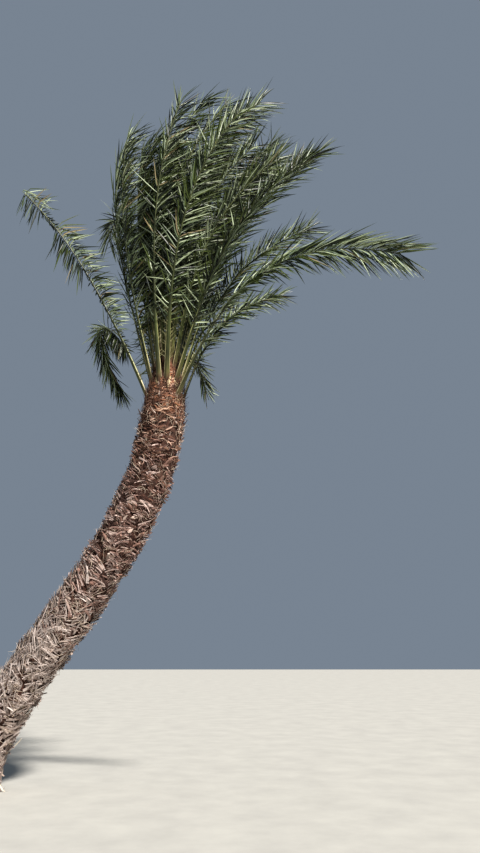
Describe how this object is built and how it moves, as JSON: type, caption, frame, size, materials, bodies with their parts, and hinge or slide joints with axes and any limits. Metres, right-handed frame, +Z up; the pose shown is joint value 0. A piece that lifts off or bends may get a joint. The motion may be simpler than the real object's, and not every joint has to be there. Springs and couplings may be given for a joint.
{
  "type": "date palm tree",
  "caption": "Leaning date palm tree: bent trunk clad in cut leaf bases, and a crown of feather fronds swept to one side by the wind.",
  "frame": {"origin": "middle of the flat cut under the trunk, at ground level", "axes": "+Z up; +X to the right, the way that the trunk leans and the wind blows; -Y to the front, towards the picture's viewer"},
  "size_m": [5.2631, 3.6199, 8.202],
  "materials": {
    "trunk": "rough, dry and fibrous, grey-tan below and red-brown at the neck",
    "frond": "waxy grey-green leaflets on yellow-green stalks"
  },
  "bodies": {
    "root": {"frond_heart_1": "frond", "frond_heart_2": "frond", "frond_heart_3": "frond", "frond_inner_1": "frond", "frond_inner_2": "frond", "frond_inner_3": "frond", "frond_inner_4": "frond", "frond_inner_5": "frond", "frond_inner_6": "frond", "frond_inner_7": "frond", "frond_lower_1": "frond", "frond_lower_2": "frond", "frond_lower_3": "frond", "frond_lower_4": "frond", "frond_lower_5": "frond", "frond_lower_6": "frond", "frond_lower_7": "frond", "frond_middle_1": "frond", "frond_middle_10": "frond", "frond_middle_2": "frond", "frond_middle_3": "frond", "frond_middle_4": "frond", "frond_middle_5": "frond", "frond_middle_6": "frond", "frond_middle_7": "frond", "frond_middle_8": "frond", "frond_middle_9": "frond", "frond_upper_1": "frond", "frond_upper_2": "frond", "frond_upper_3": "frond", "frond_upper_4": "frond", "frond_upper_5": "frond", "frond_upper_6": "frond", "frond_upper_7": "frond", "frond_upper_8": "frond", "trunk": "trunk"}
  },
  "joints": []
}
